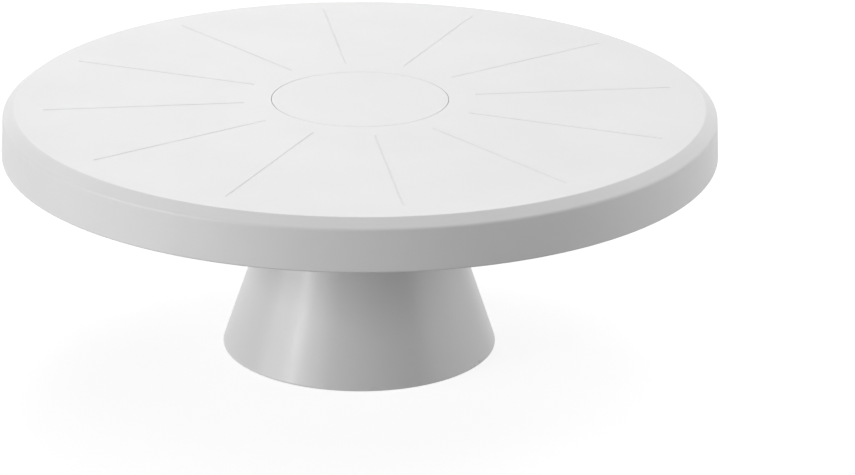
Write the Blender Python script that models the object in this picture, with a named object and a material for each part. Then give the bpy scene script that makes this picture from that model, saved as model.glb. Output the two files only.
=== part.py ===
"""A cake turntable: a nine inch plate that spins on a thrust ball bearing over a weighted, conical base.

Standalone Blender script, in metres with +Z up. The origin is on the table, under the spindle.
"""

import math

import bmesh
import bpy

# Units
MM = 0.001
INCH = 0.0254

# Driving dimensions of the whole object
PLATE_RADIUS = 9.0 * INCH / 2
TOTAL_HEIGHT = 3.25 * INCH
BASE_HEIGHT = 2.63 * INCH
BASE_RADIUS = 3.5 * INCH / 2
GAP = 0.3 * MM  # between pieces that touch on the real object

# Facets of the turned pieces
PLATE_SEGMENTS = 60
BASE_SEGMENTS = 48
RING_SEGMENTS = 36
SHAFT_SEGMENTS = 24

# Plate: heights in this group are measured from the bottom of its rim
PLATE_HEIGHT = TOTAL_HEIGHT - BASE_HEIGHT
CHAMFER_RUN = 3.6 * MM
CHAMFER_DROP = 2.7 * MM
RIM_DRAFT = 0.7 * MM
RIM_ROUNDING = 0.7 * MM
TOP_RADIUS = PLATE_RADIUS - RIM_DRAFT - CHAMFER_RUN
SKIN = 2.8 * MM
SKIRT = 2.8 * MM
PLATE_RIBS = 6
PLATE_RIB_PHASE = math.radians(30.0)
PLATE_RIB_THICKNESS = 2.0 * MM

# Guide lines cut in the top of the plate
LINE_COUNT = 12
LINE_PHASE = math.radians(7.25)
LINE_START = 37.0 * MM
LINE_END = 101.0 * MM
LINE_WIDTH = 0.9 * MM
LINE_DEPTH = 0.35 * MM

# Cap in the middle of the plate
CAP_RADIUS = 28.2 * MM
CAP_THICKNESS = 2.2 * MM
CAP_TUBE_WALL = 1.2 * MM
CAP_TUBE_DEPTH = 5.0 * MM
SEAT_THICKNESS = 2.6 * MM
WELL_RADIUS = 11.0 * MM

# Spindle, its bush and its retaining screw
SPINDLE_RADIUS = 5.0 * MM
SPINDLE_TOP = 74.5 * MM
SPINDLE_HEAD_BOTTOM = 38.0 * MM
SPINDLE_HEAD_HEIGHT = 3.0 * MM
SPINDLE_HEAD_ACROSS_FLATS = 14.0 * MM
BUSH_WALL = 2.2 * MM
BUSH_FLANGE_RADIUS = 9.2 * MM
BUSH_FLANGE = 1.4 * MM
BUSH_BOTTOM = 66.6 * MM
WASHER_RADIUS = 8.6 * MM
WASHER_THICKNESS = 1.2 * MM
SCREW_RADIUS = 2.0 * MM
SCREW_HEAD_RADIUS = 4.6 * MM
SCREW_HEAD_HEIGHT = 3.1 * MM
SCREW_LENGTH = 12.0 * MM

# Thrust ball bearing
BALL_COUNT = 12
BALL_RADIUS = 2.5 * MM
TRACK_RADIUS = 14.5 * MM
BALL_CENTRE = 64.6 * MM
RACE_INNER = 10.4 * MM
RACE_OUTER = 18.6 * MM
RACE_THICKNESS = 1.8 * MM
RACE_GROOVE_DEPTH = 0.9 * MM
CAGE_THICKNESS = 1.8 * MM
SEAT_RADIUS = RACE_OUTER + 2 * GAP

# Base shell
SHELL_BOTTOM = 0.3 * MM
CONE_SLOPE = 0.345  # radius lost per unit of height
CONE_FOOT = 1.25 * MM  # the cone starts at this height
CONE_FOOT_ROUNDING = 3.0 * MM
SHELL_WALL = 2.6 * MM
BEARING_GAP = 0.6 * MM  # running gap between base and plate
DECK = 2.7 * MM
SPIGOT_RADIUS = 8.5 * MM
HUB_RADIUS = 11.0 * MM
HUB_BOTTOM = 37.0 * MM
BASE_RIBS = 4
BASE_RIB_THICKNESS = 2.0 * MM

# Ballast and the cover that closes the base
COVER_RADIUS = 40.0 * MM
COVER_BOTTOM = 1.3 * MM
COVER_TOP = 4.6 * MM
BALLAST_INNER = 13.0 * MM
BALLAST_OUTER = 36.2 * MM
BALLAST_BOTTOM = 5.0 * MM
BALLAST_TOP = 16.0 * MM
LEDGE_RADIUS = 38.6 * MM
BOSS_CIRCLE = 25.0 * MM
BOSS_RADIUS = 4.0 * MM
BOSS_TOP = 26.0 * MM
COVER_SCREW_RADIUS = 1.5 * MM
COVER_SCREW_HEAD_RADIUS = 3.0 * MM
COVER_SCREW_HEAD = 1.6 * MM
COVER_SCREW_LENGTH = 12.0 * MM
FOOT_INNER = 33.0 * MM
FOOT_OUTER = 38.4 * MM
FOOT_THICKNESS = 2.2 * MM


# ---------------------------------------------------------------- helpers


def clear_scene():
    for obj in list(bpy.data.objects):
        bpy.data.objects.remove(obj)


def plain_material(name, colour, roughness, metallic=0.0):
    made = bpy.data.materials.new(name)
    made.use_nodes = True
    shader = made.node_tree.nodes["Principled BSDF"]
    shader.inputs["Base Color"].default_value = (*colour, 1.0)
    shader.inputs["Roughness"].default_value = roughness
    shader.inputs["Metallic"].default_value = metallic
    return made


def arc(centre, radius, start, end, steps):
    """Points of an arc in the (radius, height) plane, from one angle in degrees to another."""
    points = []
    for step in range(steps + 1):
        angle = math.radians(start + (end - start) * step / steps)
        points.append((centre[0] + radius * math.cos(angle), centre[1] + radius * math.sin(angle)))
    return points


def ring_points(count, radius, phase=0.0):
    """Points spaced evenly round a circle, with the angle of each."""
    for index in range(count):
        angle = phase + 2 * math.pi * index / count
        yield angle, radius * math.cos(angle), radius * math.sin(angle)


def object_from(bm, name, material=None, sharp_degrees=30.0):
    bmesh.ops.recalc_face_normals(bm, faces=bm.faces)
    mesh = bpy.data.meshes.new(name)
    bm.to_mesh(mesh)
    bm.free()
    mesh.shade_smooth()
    mesh.set_sharp_from_angle(angle=math.radians(sharp_degrees))
    obj = bpy.data.objects.new(name, mesh)
    bpy.context.scene.collection.objects.link(obj)
    if material:
        mesh.materials.append(material)
    return obj


def add_turned(bm, outline, segments, centre=(0.0, 0.0)):
    """Adds a solid of revolution. The outline closes on itself, or starts and ends on the axis."""
    rings = []
    for radius, height in outline:
        if radius == 0.0:
            rings.append([bm.verts.new((centre[0], centre[1], height))] * segments)
            continue
        corners = [(centre[0] + x, centre[1] + y, height) for _, x, y in ring_points(segments, radius)]
        rings.append([bm.verts.new(corner) for corner in corners])
    for this, following in zip(rings, rings[1:] + rings[:1]):
        for k in range(segments):
            n = (k + 1) % segments
            face = list(dict.fromkeys([this[k], this[n], following[n], following[k]]))
            if len(face) > 2:
                bm.faces.new(face)


def turned(name, outline, segments, material=None):
    bm = bmesh.new()
    add_turned(bm, outline, segments)
    return object_from(bm, name, material)


def add_web(bm, outline, thickness, angle):
    """Adds a flat plate that stands on edge along a radius. The outline is in (radius, height)."""
    along = (math.cos(angle), math.sin(angle))
    across = (-math.sin(angle), math.cos(angle))
    sides = []
    for offset in (-thickness / 2, thickness / 2):
        shift = (offset * across[0], offset * across[1])
        corners = [(r * along[0] + shift[0], r * along[1] + shift[1], h) for r, h in outline]
        sides.append([bm.verts.new(corner) for corner in corners])
    left, right = sides
    bm.faces.new(left)
    bm.faces.new(list(reversed(right)))
    for k in range(len(outline)):
        n = (k + 1) % len(outline)
        bm.faces.new([left[n], left[k], right[k], right[n]])


def helper(bm, name):
    """A cutter or a shape to be joined: it takes part in Booleans and isn't a piece itself."""
    obj = object_from(bm, name)
    obj.hide_render = True
    obj.display_type = "WIRE"
    return obj


def combine(obj, operation, other):
    modifier = obj.modifiers.new(f"{operation.lower()} {other.name}", "BOOLEAN")
    modifier.operation = operation
    modifier.solver = "EXACT"
    modifier.object = other


def place(obj, parent, location=(0.0, 0.0, 0.0), turn=0.0):
    obj.parent = parent
    obj.location = location
    obj.rotation_euler = (0.0, 0.0, turn)


def empty(name, height=0.0):
    obj = bpy.data.objects.new(name, None)
    obj.location = (0.0, 0.0, height)
    bpy.context.scene.collection.objects.link(obj)
    return obj


# ---------------------------------------------------------------- the plate and what turns with it


def plate_outline():
    """Section of the plate: the rim, the top skin, the seat of the cap, the well and the bearing housing."""
    top = PLATE_HEIGHT
    skin_under = top - SKIN
    seat = top - CAP_THICKNESS - GAP
    seat_under = seat - SEAT_THICKNESS
    seat_wall = CAP_RADIUS + GAP
    housing_top = 5.7 * MM
    race_seat = BALL_CENTRE + 3.7 * MM + GAP - BASE_HEIGHT
    core_inner = WELL_RADIUS + 2.5 * MM
    core_outer = SEAT_RADIUS + 0.5 * MM
    core_floor = 4.6 * MM
    housing_radius = core_outer + 2.3 * MM
    bore = SPINDLE_RADIUS + GAP + BUSH_WALL + GAP
    rim_inner = PLATE_RADIUS - SKIRT
    rim_inner_top = TOP_RADIUS - 1.2 * MM
    return [
        (seat_wall, top),
        (TOP_RADIUS, top),
        (TOP_RADIUS + CHAMFER_RUN, top - CHAMFER_DROP),
        (PLATE_RADIUS, RIM_ROUNDING),
        (PLATE_RADIUS - RIM_ROUNDING, 0.0),
        (rim_inner, 0.0),
        (rim_inner - 0.5 * MM, skin_under - 1.6 * MM),
        (rim_inner_top, skin_under),
        (seat_wall + 2.0 * MM, skin_under),
        (seat_wall + 2.0 * MM, seat_under),
        (housing_radius, seat_under),
        (housing_radius, 0.0),
        (SEAT_RADIUS, 0.0),
        (SEAT_RADIUS, race_seat),
        (bore, race_seat),
        (bore, housing_top),
        (WELL_RADIUS, housing_top),
        (WELL_RADIUS, seat),
        (core_inner, seat),
        (core_inner, core_floor),
        (core_outer, core_floor),
        (core_outer, seat),
        (seat_wall, seat),
    ]


def plate_ribs():
    """Six ribs under the plate, from the bearing housing to the rim. Their edges end inside its walls."""
    skin_middle = PLATE_HEIGHT - SKIN / 2
    seat_middle = PLATE_HEIGHT - CAP_THICKNESS - GAP - SEAT_THICKNESS / 2
    inner = SEAT_RADIUS + 1.6 * MM
    cap_wall = CAP_RADIUS + 1.3 * MM
    outer = PLATE_RADIUS - 1.8 * MM
    outline = [
        (inner, 3.7 * MM),
        (outer, 7.7 * MM),
        (outer, 11.6 * MM),
        (TOP_RADIUS - 1.0 * MM, skin_middle),
        (cap_wall, skin_middle),
        (cap_wall, seat_middle),
        (inner, seat_middle),
    ]
    bm = bmesh.new()
    for angle, _, _ in ring_points(PLATE_RIBS, 1.0, PLATE_RIB_PHASE):
        add_web(bm, outline, PLATE_RIB_THICKNESS, angle)
    return helper(bm, "rib_stock")


def guide_line_cutter():
    """V-shaped cutters for the twelve guide lines, each with its point down."""
    above = PLATE_HEIGHT + LINE_DEPTH
    tip = PLATE_HEIGHT - LINE_DEPTH
    half = LINE_WIDTH  # the V is twice as wide at its top, which is one depth above the surface
    bm = bmesh.new()
    for angle, _, _ in ring_points(LINE_COUNT, 1.0, LINE_PHASE):
        along = (math.cos(angle), math.sin(angle))
        across = (-math.sin(angle), math.cos(angle))
        ends = []
        for radius in (LINE_START, LINE_END):
            x, y = radius * along[0], radius * along[1]
            ends.append(
                [
                    bm.verts.new((x - half * across[0], y - half * across[1], above)),
                    bm.verts.new((x + half * across[0], y + half * across[1], above)),
                    bm.verts.new((x, y, tip)),
                ]
            )
        inner, outer = ends
        bm.faces.new(inner)
        bm.faces.new(list(reversed(outer)))
        for k in range(3):
            n = (k + 1) % 3
            bm.faces.new([inner[n], inner[k], outer[k], outer[n]])
    return helper(bm, "guide_line_cutter")


def make_plate(parent, material):
    plate = turned("turntable_plate", plate_outline(), PLATE_SEGMENTS, material)
    place(plate, parent)
    for operation, other in (("UNION", plate_ribs()), ("DIFFERENCE", guide_line_cutter())):
        place(other, parent)
        combine(plate, operation, other)


def make_cap(parent, material):
    """Disc that closes the well in the plate. A short tube under it grips the well."""
    under = -CAP_THICKNESS
    tube_outer = WELL_RADIUS - GAP
    tube_inner = tube_outer - CAP_TUBE_WALL
    edge = 0.25 * MM
    outline = [
        (0.0, 0.0),
        (CAP_RADIUS - edge, 0.0),
        (CAP_RADIUS, -edge),
        (CAP_RADIUS, under),
        (tube_outer, under),
        (tube_outer, under - CAP_TUBE_DEPTH),
        (tube_inner, under - CAP_TUBE_DEPTH),
        (tube_inner, under),
        (0.0, under),
    ]
    cap = turned("centre_cap", outline, RING_SEGMENTS, material)
    place(cap, parent, (0.0, 0.0, PLATE_HEIGHT))


def make_bush(parent, material):
    """Flanged sleeve in the plate's bore. It turns on the spindle."""
    inner = SPINDLE_RADIUS + GAP
    outer = inner + BUSH_WALL
    shoulder = BASE_HEIGHT + 5.7 * MM + GAP - BUSH_BOTTOM
    outline = [
        (inner, 0.0),
        (outer, 0.0),
        (outer, shoulder),
        (BUSH_FLANGE_RADIUS, shoulder),
        (BUSH_FLANGE_RADIUS, shoulder + BUSH_FLANGE),
        (inner, shoulder + BUSH_FLANGE),
    ]
    bush = turned("hub_bush", outline, SHAFT_SEGMENTS, material)
    place(bush, parent, (0.0, 0.0, BUSH_BOTTOM - BASE_HEIGHT))


# ---------------------------------------------------------------- the bearing


def race_outline(up):
    """Section of a race with its ball groove in the upper face, or in the lower face if up is -1."""
    groove_radius = BALL_RADIUS + GAP
    groove_centre = RACE_THICKNESS - RACE_GROOVE_DEPTH + groove_radius
    reach = math.degrees(math.acos((groove_centre - RACE_THICKNESS) / groove_radius))
    groove = arc((TRACK_RADIUS, groove_centre), groove_radius, -90 - reach, -90 + reach, 5)
    outline = [(RACE_INNER, 0.0), (RACE_INNER, RACE_THICKNESS), *groove]
    outline += [(RACE_OUTER, RACE_THICKNESS), (RACE_OUTER, 0.0)]
    return [(radius, height * up) for radius, height in outline]


def make_races(base, plate, material):
    """The lower race lies in the base and the upper race in the plate. The balls run between them."""
    groove_to_ball = BALL_RADIUS + GAP + RACE_THICKNESS - RACE_GROOVE_DEPTH
    lower = turned("lower_race", race_outline(1), RING_SEGMENTS, material)
    place(lower, base, (0.0, 0.0, BALL_CENTRE - groove_to_ball))
    upper = turned("upper_race", race_outline(-1), RING_SEGMENTS, material)
    place(upper, plate, (0.0, 0.0, BALL_CENTRE + groove_to_ball - BASE_HEIGHT))


def make_cage(parent, material):
    """Flat ring with a pocket for each ball."""
    half = CAGE_THICKNESS / 2
    outline = [(RACE_INNER, -half), (RACE_OUTER, -half), (RACE_OUTER, half), (RACE_INNER, half)]
    cage = turned("ball_cage", outline, RING_SEGMENTS, material)
    place(cage, parent)
    hole = BALL_RADIUS + GAP
    pocket = [(0.0, -2 * half), (hole, -2 * half), (hole, 2 * half), (0.0, 2 * half)]
    bm = bmesh.new()
    for _, x, y in ring_points(BALL_COUNT, TRACK_RADIUS):
        add_turned(bm, pocket, 12, (x, y))
    cutter = helper(bm, "pocket_cutter")
    place(cutter, parent)
    combine(cage, "DIFFERENCE", cutter)


def make_balls(parent, material):
    """Twelve steel balls that share one mesh."""
    bm = bmesh.new()
    bmesh.ops.create_uvsphere(bm, u_segments=12, v_segments=7, radius=BALL_RADIUS)
    first = object_from(bm, "ball_01", material, sharp_degrees=60.0)
    for index, (angle, x, y) in enumerate(ring_points(BALL_COUNT, TRACK_RADIUS)):
        ball = first
        if index:
            ball = bpy.data.objects.new(f"ball_{index + 1:02d}", first.data)
            bpy.context.scene.collection.objects.link(ball)
        place(ball, parent, (x, y, 0.0), angle)


# ---------------------------------------------------------------- the base and what stays with it


def cone_radius(height):
    """Outer radius of the base shell at a height above its rounded foot."""
    return BASE_RADIUS - CONE_SLOPE * (height - CONE_FOOT)


def shell_outline():
    """Section of the base shell: cone, bearing seat, spigot, hub and the rebate for the cover."""
    lean = math.degrees(math.atan(CONE_SLOPE))
    tangent = CONE_FOOT_ROUNDING * math.tan(math.radians(lean / 2))
    foot_centre = (BASE_RADIUS - CONE_FOOT_ROUNDING, CONE_FOOT - tangent)
    foot = arc(foot_centre, CONE_FOOT_ROUNDING, 0.0, lean, 3)
    deck_top = BASE_HEIGHT - BEARING_GAP
    seat = BALL_CENTRE - 3.7 * MM - GAP
    deck_under = seat - DECK
    rebate = COVER_RADIUS + 0.5 * MM
    ledge_height = COVER_TOP + GAP
    lining_top = CONE_FOOT + (BASE_RADIUS - SHELL_WALL - LEDGE_RADIUS) / CONE_SLOPE
    bore = SPINDLE_RADIUS + GAP
    edge = 0.5 * MM
    return [
        (rebate, SHELL_BOTTOM),
        (BASE_RADIUS - edge, SHELL_BOTTOM),
        *foot,
        (cone_radius(deck_top - edge), deck_top - edge),
        (cone_radius(deck_top) - edge, deck_top),
        (SEAT_RADIUS, deck_top),
        (SEAT_RADIUS, seat),
        (SPIGOT_RADIUS, seat),
        (SPIGOT_RADIUS, deck_top - 0.4 * MM),
        (bore, deck_top - 0.4 * MM),
        (bore, HUB_BOTTOM),
        (HUB_RADIUS, HUB_BOTTOM),
        (HUB_RADIUS, deck_under),
        (cone_radius(deck_under) - SHELL_WALL, deck_under),
        (LEDGE_RADIUS, lining_top),
        (LEDGE_RADIUS, ledge_height),
        (rebate, ledge_height),
    ]


def base_ribs():
    """Four ribs inside the cone, from the hub to the wall."""
    bottom = BALLAST_TOP + 1.0 * MM
    top = BALL_CENTRE - 3.7 * MM - GAP - DECK + 1.0 * MM
    buried = SHELL_WALL - 1.2 * MM
    outline = [
        (HUB_RADIUS - 1.5 * MM, HUB_BOTTOM + 1.5 * MM),
        (BOSS_CIRCLE - 3.0 * MM, bottom),
        (cone_radius(bottom) - buried, bottom),
        (cone_radius(top) - buried, top),
        (HUB_RADIUS - 1.5 * MM, top),
    ]
    bm = bmesh.new()
    for angle, _, _ in ring_points(BASE_RIBS, 1.0, math.pi / 4):
        add_web(bm, outline, BASE_RIB_THICKNESS, angle)
    return helper(bm, "base_rib_stock")


def screw_bosses():
    """Four bosses on the ribs, which the cover's screws bite into."""
    bottom = COVER_TOP + GAP
    outline = [(0.0, bottom), (BOSS_RADIUS, bottom), (BOSS_RADIUS, BOSS_TOP), (0.0, BOSS_TOP)]
    bm = bmesh.new()
    for _, x, y in ring_points(BASE_RIBS, BOSS_CIRCLE, math.pi / 4):
        add_turned(bm, outline, 16, (x, y))
    return helper(bm, "boss_stock")


def shell_cutter():
    """Pilot holes in the bosses, and the hexagonal pocket for the spindle's head."""
    pilot = COVER_SCREW_RADIUS + GAP
    outline = [(0.0, 0.0), (pilot, 0.0), (pilot, BOSS_TOP - 6.0 * MM), (0.0, BOSS_TOP - 6.0 * MM)]
    bm = bmesh.new()
    for _, x, y in ring_points(BASE_RIBS, BOSS_CIRCLE, math.pi / 4):
        add_turned(bm, outline, 12, (x, y))
    corner = (SPINDLE_HEAD_ACROSS_FLATS / 2 + GAP) / math.cos(math.pi / 6)
    top = SPINDLE_HEAD_BOTTOM + SPINDLE_HEAD_HEIGHT + GAP
    bottom = HUB_BOTTOM - 2.0 * MM
    add_turned(bm, [(0.0, bottom), (corner, bottom), (corner, top), (0.0, top)], 6)
    return helper(bm, "shell_cutter")


def make_shell(parent, material):
    shell = turned("base_shell", shell_outline(), BASE_SEGMENTS, material)
    place(shell, parent)
    steps = (("UNION", base_ribs()), ("UNION", screw_bosses()), ("DIFFERENCE", shell_cutter()))
    for operation, other in steps:
        place(other, parent)
        combine(shell, operation, other)


def make_spindle(parent, material):
    """Steel pin with a hexagonal head in the hub. Its top end is drilled for the retaining screw."""
    length = SPINDLE_TOP - SPINDLE_HEAD_BOTTOM
    hole = SCREW_RADIUS + GAP
    hole_bottom = length - SCREW_LENGTH - 2.0 * MM
    edge = 0.6 * MM
    shaft = [
        (0.0, SPINDLE_HEAD_HEIGHT - 1.0 * MM),
        (SPINDLE_RADIUS, SPINDLE_HEAD_HEIGHT - 1.0 * MM),
        (SPINDLE_RADIUS, length - edge),
        (SPINDLE_RADIUS - edge, length),
        (hole, length),
        (hole, hole_bottom),
        (0.0, hole_bottom - 1.0 * MM),
    ]
    corner = SPINDLE_HEAD_ACROSS_FLATS / 2 / math.cos(math.pi / 6)
    head = [(0.0, 0.0), (corner, 0.0), (corner, SPINDLE_HEAD_HEIGHT), (0.0, SPINDLE_HEAD_HEIGHT)]
    spindle = turned("spindle", shaft, SHAFT_SEGMENTS, material)
    place(spindle, parent, (0.0, 0.0, SPINDLE_HEAD_BOTTOM))
    bm = bmesh.new()
    add_turned(bm, head, 6)
    stock = helper(bm, "spindle_head_stock")
    place(stock, parent, (0.0, 0.0, SPINDLE_HEAD_BOTTOM))
    combine(spindle, "UNION", stock)


def make_washer(parent, material):
    inner = SCREW_RADIUS + GAP
    outline = [
        (inner, 0.0),
        (WASHER_RADIUS, 0.0),
        (WASHER_RADIUS, WASHER_THICKNESS),
        (inner, WASHER_THICKNESS),
    ]
    washer = turned("retaining_washer", outline, SHAFT_SEGMENTS, material)
    place(washer, parent, (0.0, 0.0, SPINDLE_TOP + GAP))


def cross_recess(name, parent, location, width, depth):
    """Cutter for a cross recess: a plus sign that reaches one depth above and below its location."""
    half, reach = width / 2, 2.2 * width
    arm = [(half, half), (half, reach), (-half, reach)]
    plus = []
    for quarter in range(4):
        turn = quarter * math.pi / 2
        cos, sin = round(math.cos(turn)), round(math.sin(turn))
        plus += [(x * cos - y * sin, x * sin + y * cos) for x, y in arm]
    bm = bmesh.new()
    low = [bm.verts.new((x, y, -depth)) for x, y in plus]
    high = [bm.verts.new((x, y, depth)) for x, y in plus]
    bm.faces.new(list(reversed(low)))
    bm.faces.new(high)
    for k in range(len(plus)):
        n = (k + 1) % len(plus)
        bm.faces.new([low[k], low[n], high[n], high[k]])
    cutter = helper(bm, f"{name}_recess")
    place(cutter, parent, location)
    return cutter


def make_retaining_screw(parent, material):
    """Pan head screw in the spindle's top end. Its head and the washer keep the plate on."""
    crown = arc((0.0, 0.0), 1.0, 0.0, 90.0, 4)
    flat = 0.45 * SCREW_HEAD_HEIGHT
    dome = [(SCREW_HEAD_RADIUS * x, flat + (SCREW_HEAD_HEIGHT - flat) * y) for x, y in crown[:-1]]
    outline = [
        (0.0, -SCREW_LENGTH),
        (SCREW_RADIUS - 0.4 * MM, -SCREW_LENGTH),
        (SCREW_RADIUS, -SCREW_LENGTH + 0.6 * MM),
        (SCREW_RADIUS, 0.0),
        (SCREW_HEAD_RADIUS, 0.0),
        *dome,
        (0.0, SCREW_HEAD_HEIGHT),
    ]
    screw = turned("retaining_screw", outline, SHAFT_SEGMENTS, material)
    seat = SPINDLE_TOP + WASHER_THICKNESS + 2 * GAP
    place(screw, parent, (0.0, 0.0, seat))
    top = (0.0, 0.0, seat + SCREW_HEAD_HEIGHT)
    combine(screw, "DIFFERENCE", cross_recess("retaining_screw", parent, top, 1.1 * MM, 1.6 * MM))


def make_ballast(parent, material):
    """Iron ring that drops over the four bosses and weighs the base down."""
    outline = [
        (BALLAST_INNER, BALLAST_BOTTOM),
        (BALLAST_OUTER, BALLAST_BOTTOM),
        (BALLAST_OUTER, BALLAST_TOP),
        (BALLAST_INNER, BALLAST_TOP),
    ]
    ballast = turned("ballast_ring", outline, RING_SEGMENTS, material)
    place(ballast, parent)
    hole = BOSS_RADIUS + 0.6 * MM
    bottom, top = BALLAST_BOTTOM - 1.0 * MM, BALLAST_TOP + 1.0 * MM
    bm = bmesh.new()
    for _, x, y in ring_points(BASE_RIBS, BOSS_CIRCLE, math.pi / 4):
        add_turned(bm, [(0.0, bottom), (hole, bottom), (hole, top), (0.0, top)], 16, (x, y))
    cutter = helper(bm, "ballast_cutter")
    place(cutter, parent)
    combine(ballast, "DIFFERENCE", cutter)


def make_cover(parent, material):
    """Disc that closes the base. The foot ring lies in a groove in its lower face."""
    groove_top = FOOT_THICKNESS + GAP
    edge = 0.4 * MM
    outline = [
        (0.0, COVER_BOTTOM),
        (FOOT_INNER - GAP, COVER_BOTTOM),
        (FOOT_INNER - GAP, groove_top),
        (FOOT_OUTER + GAP, groove_top),
        (FOOT_OUTER + GAP, COVER_BOTTOM),
        (COVER_RADIUS - edge, COVER_BOTTOM),
        (COVER_RADIUS, COVER_BOTTOM + edge),
        (COVER_RADIUS, COVER_TOP),
        (0.0, COVER_TOP),
    ]
    cover = turned("base_cover", outline, RING_SEGMENTS, material)
    place(cover, parent)
    hole = COVER_SCREW_RADIUS + GAP
    mouth = COVER_SCREW_HEAD_RADIUS + GAP
    countersunk = [
        (0.0, COVER_BOTTOM - 1.0 * MM),
        (mouth, COVER_BOTTOM - 1.0 * MM),
        (mouth, COVER_BOTTOM + 0.3 * MM),
        (hole, COVER_BOTTOM + 0.3 * MM + COVER_SCREW_HEAD),
        (hole, COVER_TOP + 1.0 * MM),
        (0.0, COVER_TOP + 1.0 * MM),
    ]
    bm = bmesh.new()
    for _, x, y in ring_points(BASE_RIBS, BOSS_CIRCLE, math.pi / 4):
        add_turned(bm, countersunk, 16, (x, y))
    cutter = helper(bm, "cover_cutter")
    place(cutter, parent)
    combine(cover, "DIFFERENCE", cutter)


def make_cover_screws(parent, material):
    """Four countersunk screws that hold the cover to the bosses."""
    outline = [
        (0.0, 0.0),
        (COVER_SCREW_HEAD_RADIUS, 0.0),
        (COVER_SCREW_HEAD_RADIUS, 0.2 * MM),
        (COVER_SCREW_RADIUS, 0.2 * MM + COVER_SCREW_HEAD),
        (COVER_SCREW_RADIUS, COVER_SCREW_LENGTH - 1.5 * MM),
        (0.0, COVER_SCREW_LENGTH),
    ]
    for index, (_, x, y) in enumerate(ring_points(BASE_RIBS, BOSS_CIRCLE, math.pi / 4)):
        name = f"cover_screw_{index + 1}"
        location = (x, y, COVER_BOTTOM)
        screw = turned(name, outline, 16, material)
        place(screw, parent, location)
        combine(screw, "DIFFERENCE", cross_recess(name, parent, location, 0.8 * MM, 0.9 * MM))


def make_foot_ring(parent, material):
    """Soft ring that stands on the table."""
    edge = 0.4 * MM
    outline = [
        (FOOT_INNER + edge, 0.0),
        (FOOT_OUTER - edge, 0.0),
        (FOOT_OUTER, edge),
        (FOOT_OUTER, FOOT_THICKNESS),
        (FOOT_INNER, FOOT_THICKNESS),
        (FOOT_INNER, edge),
    ]
    ring = turned("foot_ring", outline, RING_SEGMENTS, material)
    place(ring, parent)


# ---------------------------------------------------------------- assembly


def main():
    clear_scene()
    plate_plastic = plain_material("plate_plastic", (0.84, 0.84, 0.84), 0.45)
    base_plastic = plain_material("base_plastic", (0.80, 0.80, 0.80), 0.38)
    cover_plastic = plain_material("cover_plastic", (0.70, 0.70, 0.70), 0.5)
    rubber = plain_material("rubber", (0.08, 0.08, 0.08), 0.75)
    steel = plain_material("steel", (0.62, 0.62, 0.64), 0.3, 1.0)
    bearing_steel = plain_material("bearing_steel", (0.72, 0.73, 0.75), 0.12, 1.0)
    nylon = plain_material("nylon", (0.85, 0.83, 0.76), 0.5)
    acetal = plain_material("acetal", (0.05, 0.05, 0.055), 0.35)
    iron = plain_material("cast_iron", (0.16, 0.16, 0.17), 0.65, 1.0)

    base = empty("base")
    bearing = empty("bearing", BALL_CENTRE)
    plate = empty("plate", BASE_HEIGHT)

    make_shell(base, base_plastic)
    make_spindle(base, steel)
    make_washer(base, steel)
    make_retaining_screw(base, steel)
    make_ballast(base, iron)
    make_cover(base, cover_plastic)
    make_cover_screws(base, steel)
    make_foot_ring(base, rubber)

    make_races(base, plate, bearing_steel)
    make_cage(bearing, nylon)
    make_balls(bearing, bearing_steel)

    make_plate(plate, plate_plastic)
    make_cap(plate, plate_plastic)
    make_bush(plate, acetal)


main()
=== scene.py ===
"""Looks of the cake turntable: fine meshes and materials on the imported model, floor, light and camera."""

import math

import bmesh
import bpy
from mathutils import Matrix, Vector


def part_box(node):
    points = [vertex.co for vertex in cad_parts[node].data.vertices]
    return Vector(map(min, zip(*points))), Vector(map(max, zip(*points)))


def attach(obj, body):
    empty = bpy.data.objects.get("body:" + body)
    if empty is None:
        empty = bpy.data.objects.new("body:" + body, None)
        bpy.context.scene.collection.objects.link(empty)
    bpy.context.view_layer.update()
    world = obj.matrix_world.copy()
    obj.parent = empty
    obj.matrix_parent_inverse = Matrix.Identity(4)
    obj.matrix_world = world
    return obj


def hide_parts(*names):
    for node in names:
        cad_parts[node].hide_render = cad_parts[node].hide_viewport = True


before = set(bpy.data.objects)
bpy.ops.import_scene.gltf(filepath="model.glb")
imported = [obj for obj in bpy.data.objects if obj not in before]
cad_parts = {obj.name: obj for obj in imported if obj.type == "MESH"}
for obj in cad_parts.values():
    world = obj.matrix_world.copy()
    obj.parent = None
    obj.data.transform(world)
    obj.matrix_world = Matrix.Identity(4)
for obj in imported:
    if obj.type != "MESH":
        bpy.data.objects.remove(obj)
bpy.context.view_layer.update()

MM = 0.001
GAP = 0.3 * MM


# ---------------------------------------------------------------- sizes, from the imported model


def top_of(node):
    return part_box(node)[1].z


def bottom_of(node):
    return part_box(node)[0].z


def radius_of(node):
    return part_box(node)[1].x


PLATE_RADIUS = radius_of("turntable_plate")
PLATE_TOP = top_of("turntable_plate")
PLATE_BOTTOM = bottom_of("turntable_plate")
CAP_RADIUS = radius_of("centre_cap")
BASE_RADIUS = radius_of("base_shell")
SHELL_TOP = top_of("base_shell")
COVER_RADIUS = radius_of("base_cover")
COVER_BOTTOM = bottom_of("base_cover")
COVER_TOP = top_of("base_cover")
SPINDLE_TOP = top_of("spindle")
SPINDLE_BOTTOM = bottom_of("spindle")
RACE_OUTER = radius_of("lower_race")
RACE_SEAT = bottom_of("lower_race")
RACE_CEILING = top_of("upper_race")
BALL_CENTRE = (RACE_SEAT + RACE_CEILING) / 2

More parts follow.
